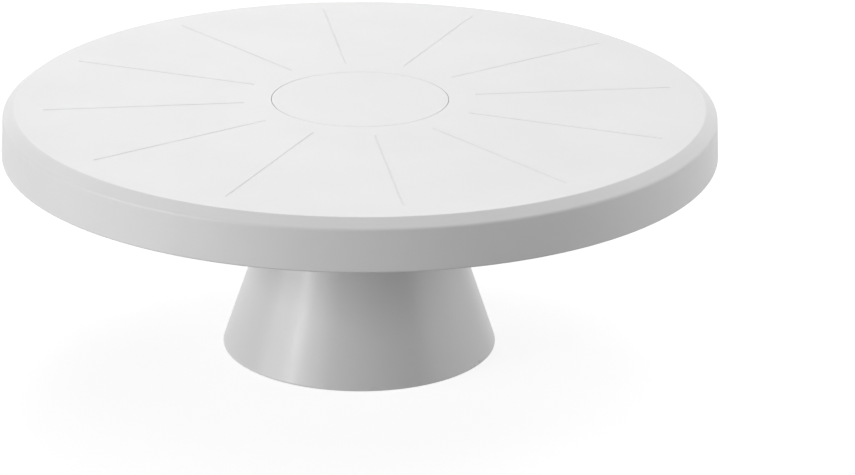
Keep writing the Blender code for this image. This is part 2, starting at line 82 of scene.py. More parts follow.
# Shapes that a box doesn't give
CHAMFER_RUN = 3.6 * MM
CHAMFER_DROP = 2.7 * MM
RIM_DRAFT = 0.7 * MM
TOP_RADIUS = PLATE_RADIUS - RIM_DRAFT - CHAMFER_RUN
SKIN = 2.8 * MM
SKIRT = 2.8 * MM
CAP_THICKNESS = 2.2 * MM
SEAT_THICKNESS = 2.6 * MM
SEAT_RADIUS = RACE_OUTER + 2 * GAP
WELL_RADIUS = 11.0 * MM
PLATE_RIBS = 6
PLATE_RIB_PHASE = math.radians(30.0)
RIB_THICKNESS = 2.0 * MM
PLATE_SEAT = PLATE_TOP - CAP_THICKNESS - GAP
SKIN_UNDER = PLATE_TOP - SKIN

LINE_COUNT = 12
LINE_PHASE = math.radians(7.25)
LINE_START = 37.0 * MM
LINE_END = 101.0 * MM
LINE_WIDTH = 0.8 * MM
LINE_DEPTH = 0.17 * MM
LINE_ROUNDNESS = 0.6
# Painted shade: how far the guide lines are painted darker at their deepest, in place of the shade inside
# them
PAINTED_LINE_SHADE = 0.04
# Where the mesh is split across a line, as shares of half its width
LINE_STEPS = (0.0, 0.3, 0.6, 0.8, 0.93, 1.0, 1.35)

SPINDLE_RADIUS = 5.0 * MM
SPINDLE_HEAD = 3.0 * MM
BUSH_WALL = 2.2 * MM
SCREW_RADIUS = 2.0 * MM
CONE_SLOPE = 0.341
CONE_FOOT = 0.5 * MM
CONE_FOOT_ROUNDING = 1.0 * MM
SHELL_BOTTOM = 0.05 * MM
SHELL_WALL = 2.6 * MM
LEDGE_RADIUS = 38.6 * MM
HUB_RADIUS = 11.0 * MM
HUB_BOTTOM = 37.0 * MM
BASE_RIBS = 4
BASE_RIB_PHASE = math.pi / 4
BOSS_CIRCLE = 25.0 * MM
FOOT_INNER = 33.0 * MM
RACE_INNER = 10.4 * MM
TRACK_RADIUS = 14.5 * MM
BALL_RADIUS = 2.5 * MM
BALL_COUNT = 12

# Mesh settings, with angles in degrees and lengths in metres
ARC_STEP = 14.0
STRIP_SHARE = 0.25
STRIP_ROOM = 0.45
SHARP = 32.0
PLATE_SHARP = 38.0
BEVEL_FROM = 30.0
SAME_PLACE = 1e-7
SLIVER = 1e-6

# The lights stand this far from a point on the axis, at this height, in metres
LIGHT_DISTANCE = 1.6
LIGHT_AIM = 0.06


# ---------------------------------------------------------------- mesh tools


def arc(centre, radius, start, end, steps):
    """Points of an arc in the (radius, height) plane, between two angles in degrees."""
    points = []
    for step in range(steps + 1):
        angle = math.radians(start + (end - start) * step / steps)
        points.append((centre[0] + radius * math.cos(angle), centre[1] + radius * math.sin(angle)))
    return points


def rounded(corners):
    """Closed outline with round corners. A corner is (radius, height) or (radius, height, rounding).

    Each arc gets a short flat strip on both sides, so that smooth shading stays on the arc.
    """
    points = []
    count = len(corners)
    for k, corner in enumerate(corners):
        here = Vector(corner[:2])
        before = Vector(corners[k - 1][:2]) - here
        after = Vector(corners[(k + 1) % count][:2]) - here
        rounding = corner[2] if len(corner) > 2 else 0.0
        if rounding == 0.0:
            points.append(tuple(here))
            continue
        u, v = before.normalized(), after.normalized()
        turn = math.pi - u.angle(v)
        tangent = rounding * math.tan(turn / 2)
        strip = tangent + STRIP_SHARE * rounding
        steps = max(2, math.ceil(math.degrees(turn) / ARC_STEP))
        middle = here + (u + v).normalized() * rounding / math.cos(turn / 2)
        start = here + u * tangent - middle
        end = here + v * tangent - middle
        if strip < STRIP_ROOM * before.length:
            points.append(tuple(here + u * strip))
        for n in range(steps + 1):
            angle = turn * n / steps
            share = (math.sin(turn - angle) * start + math.sin(angle) * end) / math.sin(turn)
            points.append(tuple(middle + share))
        if strip < STRIP_ROOM * after.length:
            points.append(tuple(here + v * strip))
    return points


def ring_points(count, radius, phase=0.0):
    """The angle and the place of points spaced evenly round a circle."""
    for index in range(count):
        angle = phase + 2 * math.pi * index / count
        yield angle, radius * math.cos(angle), radius * math.sin(angle)


def smoothed(mesh, sharp_degrees):
    mesh.shade_smooth()
    mesh.set_sharp_from_angle(angle=math.radians(sharp_degrees))


def object_from(bm, name, material=None, sharp_degrees=SHARP):
    bmesh.ops.remove_doubles(bm, verts=bm.verts, dist=SAME_PLACE)
    bmesh.ops.recalc_face_normals(bm, faces=bm.faces)
    mesh = bpy.data.meshes.new(name)
    bm.to_mesh(mesh)
    bm.free()
    smoothed(mesh, sharp_degrees)
    obj = bpy.data.objects.new(name, mesh)
    bpy.context.scene.collection.objects.link(obj)
    if material:
        mesh.materials.append(material)
    return obj


def add_turned(bm, outline, segments, centre=(0.0, 0.0), phase=0.0):
    """Adds a solid of revolution. The outline closes on itself, or starts and ends on the axis."""
    rings = []
    for radius, height in outline:
        if radius < SAME_PLACE:
            rings.append([bm.verts.new((centre[0], centre[1], height))] * segments)
            continue
        ring = []
        for _, x, y in ring_points(segments, radius, phase):
            ring.append(bm.verts.new((centre[0] + x, centre[1] + y, height)))
        rings.append(ring)
    join_rings(bm, rings)


def join_rings(bm, rings):
    """Adds the faces between rings, and from the last ring back to the first."""
    segments = len(rings[0])
    for this, following in zip(rings, rings[1:] + rings[:1]):
        for k in range(segments):
            n = (k + 1) % segments
            face = list(dict.fromkeys([this[k], this[n], following[n], following[k]]))
            if len(face) > 2:
                bm.faces.new(face)


def loft(bm, rings):
    """Adds the faces between rings, and a flat face at each end."""
    count = len(rings[0])
    for this, following in zip(rings, rings[1:]):
        for k in range(count):
            n = (k + 1) % count
            bm.faces.new([this[k], this[n], following[n], following[k]])
    bm.faces.new(list(reversed(rings[0])))
    bm.faces.new(rings[-1])


def turned(name, corners, segments, material):
    bm = bmesh.new()
    add_turned(bm, rounded(corners), segments)
    return object_from(bm, name, material)


def add_web(bm, outline, thickness, angle):
    """Adds a flat plate that stands on edge along a radius. The outline is in (radius, height)."""
    along = (math.cos(angle), math.sin(angle))
    across = (-math.sin(angle), math.cos(angle))
    sides = []
    for offset in (-thickness / 2, thickness / 2):
        shift = (offset * across[0], offset * across[1])
        corners = [(r * along[0] + shift[0], r * along[1] + shift[1], h) for r, h in outline]
        sides.append([bm.verts.new(corner) for corner in corners])
    left, right = sides
    bm.faces.new(left)
    bm.faces.new(list(reversed(right)))
    for k in range(len(outline)):
        n = (k + 1) % len(outline)
        bm.faces.new([left[n], left[k], right[k], right[n]])


def bevelled(obj, width, segments=3):
    modifier = obj.modifiers.new("rounding", "BEVEL")
    modifier.width = width
    modifier.segments = segments
    modifier.limit_method = "ANGLE"
    modifier.angle_limit = math.radians(BEVEL_FROM)
    return obj


def combined(obj, steps, sharp_degrees=SHARP):
    """Applies Booleans with other objects, which are used up, and sets the sharp edges again."""
    for operation, other in steps:
        modifier = obj.modifiers.new(other.name, "BOOLEAN")
        modifier.operation = operation
        modifier.solver = "EXACT"
        modifier.object = other
    baked(obj, sharp_degrees)
    for _, other in steps:
        bpy.data.objects.remove(other)
    return obj


def baked(obj, sharp_degrees):
    """Applies the modifiers of an object, and takes out the slivers that a Boolean leaves."""
    graph = bpy.context.evaluated_depsgraph_get()
    mesh = bpy.data.meshes.new_from_object(obj.evaluated_get(graph))
    bm = bmesh.new()
    bm.from_mesh(mesh)
    bmesh.ops.dissolve_degenerate(bm, dist=SLIVER, edges=bm.edges)
    bm.to_mesh(mesh)
    bm.free()
    obj.modifiers.clear()
    obj.data = mesh
    smoothed(mesh, sharp_degrees)


def finish_piece(obj, body, node):
    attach(obj, body)
    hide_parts(node)
    return obj


# ---------------------------------------------------------------- material tools


class Nodes:
    """Short calls for building a material's node tree. Coordinates are the object's own, in metres."""

    def __init__(self, name):
        self.material = bpy.data.materials.new(name)
        self.material.use_nodes = True
        self.tree = self.material.node_tree
        self.shader = self.tree.nodes["Principled BSDF"]
        self.place = self.add("ShaderNodeTexCoord").outputs["Object"]

    def add(self, kind, **settings):
        node = self.tree.nodes.new(kind)
        for key, value in settings.items():
            setattr(node, key, value)
        return node

    def feed(self, socket, value):
        if isinstance(value, bpy.types.NodeSocket):
            self.tree.links.new(value, socket)
        else:
            socket.default_value = value

    def maths(self, operation, first, second=0.0):
        node = self.add("ShaderNodeMath", operation=operation)
        self.feed(node.inputs[0], first)
        self.feed(node.inputs[1], second)
        return node.outputs[0]

    def noise_at(self, place, detail, roughness=0.5):
        node = self.add("ShaderNodeTexNoise")
        self.feed(node.inputs["Vector"], place)
        node.inputs["Scale"].default_value = 1.0
        node.inputs["Detail"].default_value = detail
        node.inputs["Roughness"].default_value = roughness
        return node.outputs["Fac"]

    def noise(self, size, detail=3.0, roughness=0.5):
        """Noise between 0 and 1 whose lumps are about that size, in metres."""
        scaled = self.add("ShaderNodeMapping", vector_type="POINT")
        self.feed(scaled.inputs["Vector"], self.place)
        scaled.inputs["Scale"].default_value = [1 / size] * 3
        return self.noise_at(scaled.outputs["Vector"], detail, roughness)

    def ring_noise(self, across, pitch, angle, waves, detail):
        """Noise in fine rings round the spindle, about a pitch apart, that changes slowly with the angle."""
        node = self.add("ShaderNodeCombineXYZ")
        self.feed(node.inputs[0], self.maths("MULTIPLY", across, 1 / pitch))
        self.feed(node.inputs[1], self.maths("MULTIPLY", angle, waves))
        return self.noise_at(node.outputs[0], detail)

    def spread(self, value, low, high, to_low=0.0, to_high=1.0):
        """Maps low..high to to_low..to_high and holds it there beyond them."""
        node = self.add("ShaderNodeMapRange")
        self.feed(node.inputs["Value"], value)
        limits = {"From Min": low, "From Max": high, "To Min": to_low, "To Max": to_high}
        for socket, number in limits.items():
            node.inputs[socket].default_value = number
        return node.outputs["Result"]

    def colours(self, factor, first, second):
        node = self.add("ShaderNodeMix", data_type="RGBA")
        self.feed(node.inputs["Factor"], factor)
        for socket, colour in ((node.inputs[6], first), (node.inputs[7], second)):
            self.feed(socket, colour if isinstance(colour, bpy.types.NodeSocket) else (*colour, 1.0))
        return node.outputs[2]

    def polar(self):
        """Radius from the spindle, angle round it, and height."""
        axes = self.add("ShaderNodeSeparateXYZ")
        self.feed(axes.inputs[0], self.place)
        x, y, z = axes.outputs
        square = self.maths("ADD", self.maths("MULTIPLY", x, x), self.maths("MULTIPLY", y, y))
        return self.maths("SQRT", square), self.maths("ARCTAN2", y, x), z

    def bumped(self, *layers):
        """Bump from (height between 0 and 1, depth in metres) layers, one over the other."""
        normal = None
        for height, depth in layers:
            node = self.add("ShaderNodeBump")
            node.inputs["Strength"].default_value = 1.0
            node.inputs["Distance"].default_value = depth
            self.feed(node.inputs["Height"], height)
            if normal:
                self.feed(node.inputs["Normal"], normal)
            normal = node.outputs["Normal"]
        self.feed(self.shader.inputs["Normal"], normal)

    def near(self, value, target, reach):
        """1 where value is at the target, falling to 0 at that reach on both sides."""
        distance = self.maths("ABSOLUTE", self.maths("SUBTRACT", value, target))
        return self.spread(distance, 0.0, reach, 1.0, 0.0)


def shades(colour, share):
    """A darker and a lighter version of a colour."""
    return [c * (1 - share) for c in colour], [min(1.0, c * (1 + share)) for c in colour]


def moulded_plastic(name, colour, roughness, grain, edges, clouding=0.02):
    """Moulded plastic with faint clouding, a fine grain given as (size, depth), and edges rubbed smooth.

    Each edge is (radius, reach).
    """
    n = Nodes(name)
    radius, angle, height = n.polar()
    dark, light = shades(colour, clouding)
    base = n.colours(n.spread(n.noise(45 * MM, 4.0), 0.3, 0.7), dark, light)
    fine = n.noise(grain[0], 2.0, 0.6)
    smear = n.noise(9 * MM, 5.0, 0.65)
    rubbed = 0.0
    for edge, reach in edges:
        rubbed = n.maths("MAXIMUM", rubbed, n.near(radius, edge, reach))
    worn = n.maths("MULTIPLY", rubbed, n.spread(n.noise(6 * MM, 4.0, 0.6), 0.4, 0.7))
    base = n.colours(n.maths("MULTIPLY", worn, 0.4), base, shades(colour, 0.04)[1])
    rough = n.spread(smear, 0.25, 0.75, roughness - 0.03, roughness + 0.04)
    rough = n.maths("SUBTRACT", rough, n.maths("MULTIPLY", worn, 0.05))
    n.feed(n.shader.inputs["Base Color"], base)
    n.feed(n.shader.inputs["Roughness"], rough)
    n.bumped((n.noise(25 * MM, 2.0), 0.02 * MM), (fine, grain[1]))
    return n, base, rough, (radius, angle, height)


def plate_plastic():
    """The plate's plastic, with painted shade in the guide lines, darker deeper down, and faint turned
    scuffs from cake boards.
    """
    edges = ((TOP_RADIUS, 0.9 * MM), (TOP_RADIUS + CHAMFER_RUN, 0.9 * MM), (CAP_RADIUS, 0.8 * MM))
    grain = (0.35 * MM, 0.010 * MM)
    n, base, rough, place = moulded_plastic("plate_plastic", (0.80, 0.80, 0.80), 0.46, grain, edges)
    radius, angle, height = place
    rings = n.ring_noise(radius, 0.25 * MM, angle, 2.2, 2.0)
    on_top = n.spread(height, PLATE_TOP - 0.2 * MM, PLATE_TOP - 0.1 * MM)
    scuffs = n.maths("MULTIPLY", n.spread(rings, 0.66, 0.74), on_top)
    scuffs = n.maths("MULTIPLY", scuffs, n.spread(n.noise(30 * MM, 3.0), 0.45, 0.6))
    # Painted shade: the guide lines are painted darker the deeper they go, in place of the shade that falls
    # into them
    painted_line_shade = n.spread(height, PLATE_TOP - LINE_DEPTH, PLATE_TOP - 0.04 * MM, PAINTED_LINE_SHADE, 0.0)
    painted_line_shade = n.maths("MULTIPLY", painted_line_shade, n.spread(height, PLATE_TOP - 1.0 * MM, PLATE_TOP - 0.9 * MM))
    painted_line_shade = n.maths("MULTIPLY", painted_line_shade, n.maths("GREATER_THAN", radius, CAP_RADIUS + 4 * MM))
    painted_line_shade = n.maths("MULTIPLY", painted_line_shade, n.maths("LESS_THAN", radius, TOP_RADIUS - 4 * MM))
    base = n.colours(n.maths("MULTIPLY", scuffs, 0.12), base, (0.86, 0.86, 0.86))
    # Mixes the painted shade into the guide lines
    base = n.colours(painted_line_shade, base, (0.52, 0.52, 0.53))
    n.feed(n.shader.inputs["Base Color"], base)
    n.feed(n.shader.inputs["Roughness"], n.maths("ADD", rough, n.maths("MULTIPLY", scuffs, 0.1)))
    return n.material


def base_plastic():
    """The base's plastic is smoother and glossier than the plate's."""
    grain = (0.8 * MM, 0.004 * MM)
    edges = ((BASE_RADIUS, 0.5 * MM),)
    n, _, _, _ = moulded_plastic("base_plastic", (0.74, 0.74, 0.74), 0.30, grain, edges, 0.015)
    return n.material


def cover_plastic():
    grain = (0.3 * MM, 0.012 * MM)
    edges = ((COVER_RADIUS, 0.8 * MM),)
    n, _, _, _ = moulded_plastic("cover_plastic", (0.55, 0.55, 0.55), 0.5, grain, edges, 0.03)
    return n.material


def rubber():
    """Soft black rubber with a dusty bloom."""
    n = Nodes("rubber")
    dust = n.spread(n.noise(6 * MM, 5.0, 0.7), 0.4, 0.75)
    n.feed(n.shader.inputs["Base Color"], n.colours(dust, (0.035, 0.035, 0.035), (0.10, 0.098, 0.095)))
    n.feed(n.shader.inputs["Roughness"], n.spread(dust, 0.0, 1.0, 0.62, 0.85))
    n.bumped((n.noise(0.4 * MM, 3.0, 0.6), 0.03 * MM))
    return n.material


def turned_steel(name, colour, roughness, pitch=0.12 * MM):
    """Steel with the fine rings that a lathe leaves, and a few dull spots."""
    n = Nodes(name)
    n.shader.inputs["Metallic"].default_value = 1.0
    radius, angle, height = n.polar()
    rings = n.ring_noise(n.maths("ADD", radius, height), pitch, angle, 0.8, 3.0)
    spots = n.spread(n.noise(1.6 * MM, 5.0, 0.7), 0.5, 0.72)
    dark, light = shades(colour, 0.08)
    n.feed(n.shader.inputs["Base Color"], n.colours(rings, dark, light))
    rough = n.spread(rings, 0.3, 0.7, roughness - 0.05, roughness + 0.05)
    n.feed(n.shader.inputs["Roughness"], n.maths("ADD", rough, n.maths("MULTIPLY", spots, 0.12)))
    n.bumped((rings, 0.006 * MM), (spots, 0.004 * MM))
    return n.material


def cast_iron():
    """Sand cast iron under a thin coat of rust-proof paint."""
    n = Nodes("cast_iron")
    n.shader.inputs["Metallic"].default_value = 0.6
    lumps = n.noise(1.4 * MM, 5.0, 0.7)
    rust = n.spread(n.noise(7 * MM, 6.0, 0.75), 0.56, 0.7)
    n.feed(n.shader.inputs["Base Color"], n.colours(rust, (0.07, 0.07, 0.075), (0.14, 0.085, 0.05)))
    n.feed(n.shader.inputs["Roughness"], n.spread(lumps, 0.3, 0.7, 0.5, 0.75))
    n.bumped((lumps, 0.18 * MM), (n.noise(0.4 * MM, 3.0), 0.05 * MM))
    return n.material


def nylon(name, colour, roughness):
    """Unfilled engineering plastic, slightly cloudy and smooth."""
    n = Nodes(name)
    dark, light = shades(colour, 0.05)
    cloud = n.noise(4 * MM, 4.0, 0.6)
    n.feed(n.shader.inputs["Base Color"], n.colours(cloud, dark, light))
    n.feed(n.shader.inputs["Roughness"], n.spread(cloud, 0.3, 0.7, roughness - 0.05, roughness + 0.08))
    n.bumped((n.noise(0.25 * MM, 2.0), 0.008 * MM))
    return n.material


# ---------------------------------------------------------------- the plate and what turns with it


def plate_columns():
    """Columns of the plate's mesh as (angle, distance to its side, whether a guide line is there)."""
    even = 15
    pitch = 2 * math.pi / LINE_COUNT
    margin = math.radians(1.6)
    columns = []
    for line in range(LINE_COUNT):
        centre = LINE_PHASE + line * pitch
        columns += [(centre, -share * LINE_WIDTH / 2, True) for share in reversed(LINE_STEPS[1:])]
        columns += [(centre, share * LINE_WIDTH / 2, True) for share in LINE_STEPS]
        for k in range(even):
            columns.append((centre + margin + (pitch - 2 * margin) * k / (even - 1), 0.0, False))
    return columns


def line_depth(along, aside):
    """Depth of a guide line at a place given along it and to its side."""
    half = LINE_WIDTH / 2
    beyond = max(LINE_START + half - along, along - LINE_END + half, 0.0)
    share = math.hypot(beyond, aside) / half
    return LINE_DEPTH * max(0.0, 1 - share * share) ** LINE_ROUNDNESS


def plate_outline():
    """Section of the plate, from the cap's seat over the rim, back under it to the hub, and up the well."""
    top, bottom, seat = PLATE_TOP, PLATE_BOTTOM, PLATE_SEAT
    ends = [LINE_WIDTH / 2 * (1 - share) for share in reversed(LINE_STEPS)]
    rings = [LINE_START - 4 * MM, *[LINE_START + e for e in ends], 50 * MM, 65 * MM, 80 * MM]
    rings += [*[LINE_END - e for e in reversed(ends)], LINE_END + 4 * MM]
    seat_under = seat - SEAT_THICKNESS
    seat_wall = CAP_RADIUS + 0.5 * GAP
    seat_outer = seat_wall + 2.0 * MM
    race_seat = RACE_CEILING + GAP
    housing_top = bottom + 5.7 * MM
    housing_outer = SEAT_RADIUS + 2.8 * MM
    core_floor = bottom + 4.6 * MM
    core_inner = WELL_RADIUS + 2.5 * MM
    core_outer = SEAT_RADIUS + 0.5 * MM
    rim_inner = PLATE_RADIUS - SKIRT
    bore = SPINDLE_RADIUS + 2 * GAP + BUSH_WALL
    corners = [(seat_wall, top, 0.12 * MM), *[(radius, top) for radius in rings]]
    corners += [
        (TOP_RADIUS, top, 0.8 * MM),
        (TOP_RADIUS + CHAMFER_RUN, top - CHAMFER_DROP, 1.1 * MM),
        (PLATE_RADIUS + 0.03 * MM, bottom, 0.6 * MM),
        (rim_inner, bottom, 0.8 * MM),
        (rim_inner - 0.6 * MM, SKIN_UNDER, 2.2 * MM),
        (seat_outer, SKIN_UNDER, 0.6 * MM),
        (seat_outer, seat_under, 0.5 * MM),
        (housing_outer, seat_under, 1.0 * MM),
        (housing_outer, bottom, 0.4 * MM),
        (SEAT_RADIUS, bottom, 0.3 * MM),
        (SEAT_RADIUS, race_seat),
        (bore, race_seat, 0.3 * MM),
        (bore, housing_top, 0.3 * MM),
        (WELL_RADIUS, housing_top, 0.5 * MM),
        (WELL_RADIUS, seat, 0.4 * MM),
        (core_inner, seat, 0.3 * MM),
        (core_inner, core_floor, 0.8 * MM),
        (core_outer, core_floor, 0.8 * MM),
        (core_outer, seat, 0.3 * MM),
        (seat_wall, seat),
    ]
    return rounded(corners)


def plate_body(material):
    """The turned body of the plate, with the guide lines sunk in its top face."""
    columns = plate_columns()
    bm = bmesh.new()
    rings = []
    for radius, height in plate_outline():
        face = height > PLATE_TOP - 0.001 * MM
        ring = []
        for centre, aside, on_line in columns:
            angle = centre + math.asin(aside / max(radius, CAP_RADIUS))
            along = math.sqrt(max(radius * radius - aside * aside, 0.0))
            z = height - line_depth(along, aside) if face and on_line else height
            ring.append(bm.verts.new((radius * math.cos(angle), radius * math.sin(angle), z)))
        rings.append(ring)
    join_rings(bm, rings)
    return object_from(bm, "plate_moulding", material, PLATE_SHARP)


def plate_ribs():
    skin_middle = PLATE_TOP - SKIN / 2
    seat_middle = PLATE_SEAT - SEAT_THICKNESS / 2
    inner = SEAT_RADIUS + 1.6 * MM
    cap_wall = CAP_RADIUS + 1.3 * MM
    outer = PLATE_RADIUS - 1.8 * MM
    outline = [
        (inner, PLATE_BOTTOM + 3.7 * MM),
        (outer, PLATE_BOTTOM + 7.7 * MM),
        (outer, PLATE_BOTTOM + 11.6 * MM),
        (TOP_RADIUS - 1.0 * MM, skin_middle),
        (cap_wall, skin_middle),
        (cap_wall, seat_middle),
        (inner, seat_middle),
    ]
    bm = bmesh.new()
    for angle, _, _ in ring_points(PLATE_RIBS, 1.0, PLATE_RIB_PHASE):
        add_web(bm, outline, RIB_THICKNESS, angle)
    return bevelled(object_from(bm, "plate_rib_stock"), 0.45 * MM)


def ejector_marks():
    """Shallow discs where the mould's ejector pins pushed on the plate's underside."""
    pin, low, high = 3.0 * MM, SKIN_UNDER - 0.5 * MM, SKIN_UNDER + 0.15 * MM
    disc = [(0.0, low), (pin, low), (pin, high), (0.0, high)]
    bm = bmesh.new()
    for radius, count in ((48.0 * MM, PLATE_RIBS), (88.0 * MM, 2 * PLATE_RIBS)):
        phase = PLATE_RIB_PHASE + math.pi / count
        for _, x, y in ring_points(count, radius, phase):
            add_turned(bm, disc, 32, (x, y))
    return object_from(bm, "ejector_marks")


def make_plate(material):
    plate = plate_body(material)
    return combined(plate, [("UNION", plate_ribs()), ("DIFFERENCE", ejector_marks())], PLATE_SHARP)


def make_cap(material):
    top, under = PLATE_TOP, PLATE_TOP - CAP_THICKNESS
    tube_outer, tube_inner = WELL_RADIUS - GAP, WELL_RADIUS - GAP - 1.2 * MM
    tube_end = bottom_of("centre_cap")
    corners = [
        (0.0, top),
        (0.5 * CAP_RADIUS, top),
        (0.9 * CAP_RADIUS, top),
        (CAP_RADIUS, top, 0.15 * MM),
        (CAP_RADIUS, under, 0.2 * MM),
        (tube_outer, under, 0.3 * MM),
        (tube_outer, tube_end, 0.35 * MM),
        (tube_inner, tube_end, 0.35 * MM),
        (tube_inner, under, 0.3 * MM),
        (0.0, under),
    ]
    return turned("cap_disc", corners, 192, material)


def make_bush(material):
    inner = SPINDLE_RADIUS + GAP
    outer = inner + BUSH_WALL
    bottom, top = bottom_of("hub_bush"), top_of("hub_bush")
    shoulder = top - 1.4 * MM
    flange = radius_of("hub_bush")
    corners = [
        (inner, bottom, 0.4 * MM),
        (outer, bottom, 0.4 * MM),
        (outer, shoulder, 0.2 * MM),
        (flange, shoulder, 0.2 * MM),
        (flange, top, 0.3 * MM),
        (inner, top, 0.4 * MM),
    ]
    return turned("bush_sleeve", corners, 96, material)


# ---------------------------------------------------------------- the bearing


def make_race(name, back, up, material):
    """A race with its ball groove. It lies on its back face, and the groove faces up if up is 1."""
    thickness, deep = 1.8 * MM, 0.9 * MM
    groove_radius = BALL_RADIUS + GAP
    centre = thickness - deep + groove_radius
    reach = math.degrees(math.acos((centre - thickness) / groove_radius))
    groove = arc((TRACK_RADIUS, centre), groove_radius, -90 - reach, -90 + reach, 12)
    corners = [(RACE_INNER, 0.0, 0.25 * MM), (RACE_INNER, thickness, 0.3 * MM), *groove]
    corners += [(RACE_OUTER, thickness, 0.3 * MM), (RACE_OUTER, 0.0, 0.25 * MM)]
    placed = [(corner[0], back + up * corner[1], *corner[2:]) for corner in corners]
    return turned(name, placed, 128, material)


def make_cage(material):
    half, chamfer = 0.9 * MM, 0.15 * MM
    low, high = BALL_CENTRE - half, BALL_CENTRE + half
    corners = [
        (RACE_INNER, low, 0.2 * MM),
        (RACE_OUTER, low, 0.2 * MM),
        (RACE_OUTER, high, 0.2 * MM),
        (RACE_INNER, high, 0.2 * MM),
    ]
    cage = turned("cage_ring", corners, 144, material)
    hole, mouth = BALL_RADIUS + GAP, BALL_RADIUS + GAP + chamfer
    pocket = [(0.0, low - half), (mouth, low - half), (mouth, low), (hole, low + chamfer)]
    pocket += [(hole, high - chamfer), (mouth, high), (mouth, high + half), (0.0, high + half)]
    bm = bmesh.new()
    for _, x, y in ring_points(BALL_COUNT, TRACK_RADIUS):
        add_turned(bm, pocket, 48, (x, y), 0.03)
    return combined(cage, [("DIFFERENCE", object_from(bm, "pocket_cutter"))])


def make_ball(number, x, y, material):
    meridian = arc((0.0, BALL_CENTRE), BALL_RADIUS, -90.0, 90.0, 24)
    meridian[0] = (0.0, BALL_CENTRE - BALL_RADIUS)
    meridian[-1] = (0.0, BALL_CENTRE + BALL_RADIUS)
    bm = bmesh.new()
    add_turned(bm, meridian, 40, (x, y))
    return object_from(bm, f"bearing_ball_{number:02d}", material)


# ---------------------------------------------------------------- the base and what stays with it


def cone_radius(height):
    return BASE_RADIUS - CONE_SLOPE * (height - CONE_FOOT)


def base_outline():
    """Section of the base: cone, bearing seat, spigot, hub and the rebate for the cover."""
    seat = RACE_SEAT - GAP
    deck_under = seat - 2.7 * MM
    spigot, spigot_top = 8.5 * MM, SHELL_TOP - 0.4 * MM
    rebate = COVER_RADIUS + 0.5 * MM
    ledge_height = COVER_TOP + GAP
    lining_top = CONE_FOOT + (BASE_RADIUS - SHELL_WALL - LEDGE_RADIUS) / CONE_SLOPE
    bore = SPINDLE_RADIUS + GAP
    corners = [
        (rebate, SHELL_BOTTOM, 0.3 * MM),
        (BASE_RADIUS, SHELL_BOTTOM, 0.15 * MM),
        (BASE_RADIUS, CONE_FOOT, CONE_FOOT_ROUNDING),
        (cone_radius(20 * MM), 20 * MM),
        (cone_radius(40 * MM), 40 * MM),
        (cone_radius(SHELL_TOP), SHELL_TOP, 0.5 * MM),
        (SEAT_RADIUS, SHELL_TOP, 0.3 * MM),
        (SEAT_RADIUS, seat),
        (spigot, seat, 0.3 * MM),
        (spigot, spigot_top, 0.4 * MM),
        (bore, spigot_top, 0.4 * MM),
        (bore, HUB_BOTTOM),
        (HUB_RADIUS, HUB_BOTTOM, 0.6 * MM),
        (HUB_RADIUS, deck_under, 1.0 * MM),
        (cone_radius(deck_under) - SHELL_WALL, deck_under, 1.0 * MM),
        (LEDGE_RADIUS, lining_top, 1.0 * MM),
        (LEDGE_RADIUS, ledge_height),
        (rebate, ledge_height, 0.2 * MM),
    ]
    return rounded(corners)


def base_ribs():
    bottom = top_of("ballast_ring") + 1.0 * MM
    top = RACE_SEAT - GAP - 1.7 * MM
    buried = SHELL_WALL - 1.2 * MM
    hub = HUB_RADIUS - 1.5 * MM
    outline = [
        (hub, HUB_BOTTOM + 1.5 * MM),
        (BOSS_CIRCLE - 3.0 * MM, bottom),
        (cone_radius(bottom) - buried, bottom),
        (cone_radius(top) - buried, top),
        (hub, top),
    ]
    bm = bmesh.new()
    for angle, _, _ in ring_points(BASE_RIBS, 1.0, BASE_RIB_PHASE):
        add_web(bm, outline, RIB_THICKNESS, angle)
    return bevelled(object_from(bm, "base_rib_stock"), 0.4 * MM)


def columns_at_bosses(name, corners, sides):
    """One turned solid at each of the four bosses."""
    bm = bmesh.new()
    for _, x, y in ring_points(BASE_RIBS, BOSS_CIRCLE, BASE_RIB_PHASE):
        add_turned(bm, rounded(corners), sides, (x, y))
    return object_from(bm, name)


def hexagon(name, across_flats, bottom, top, chamfer):
    """Hexagonal prism on the spindle's axis."""
    corner = across_flats / 2 / math.cos(math.pi / 6)
    bm = bmesh.new()
    add_turned(bm, [(0.0, bottom), (corner, bottom), (corner, top), (0.0, top)], 6)
    made = object_from(bm, name)
    return bevelled(made, chamfer, 2) if chamfer else made


def make_base(material):
    bm = bmesh.new()
    add_turned(bm, base_outline(), 256)
    base = object_from(bm, "base_moulding", material)
    boss, low, high = 4.0 * MM, COVER_TOP + GAP, 26.0 * MM
    bosses = [(0.0, low), (boss, low, 0.4 * MM), (boss, high, 0.5 * MM), (0.0, high)]
    pilot, pilot_top = 1.8 * MM, high - 6.0 * MM
    pilots = [(0.0, 0.0), (pilot, 0.0), (pilot, pilot_top), (0.0, pilot_top)]
    pocket_top = SPINDLE_BOTTOM + SPINDLE_HEAD + GAP
    steps = [
        ("UNION", base_ribs()),
        ("UNION", columns_at_bosses("boss_stock", bosses, 48)),
        ("DIFFERENCE", columns_at_bosses("pilot_holes", pilots, 32)),
        ("DIFFERENCE", hexagon("hexagonal_pocket", 14.6 * MM, HUB_BOTTOM - 2.0 * MM, pocket_top, 0.0)),
    ]
    return combined(base, steps)


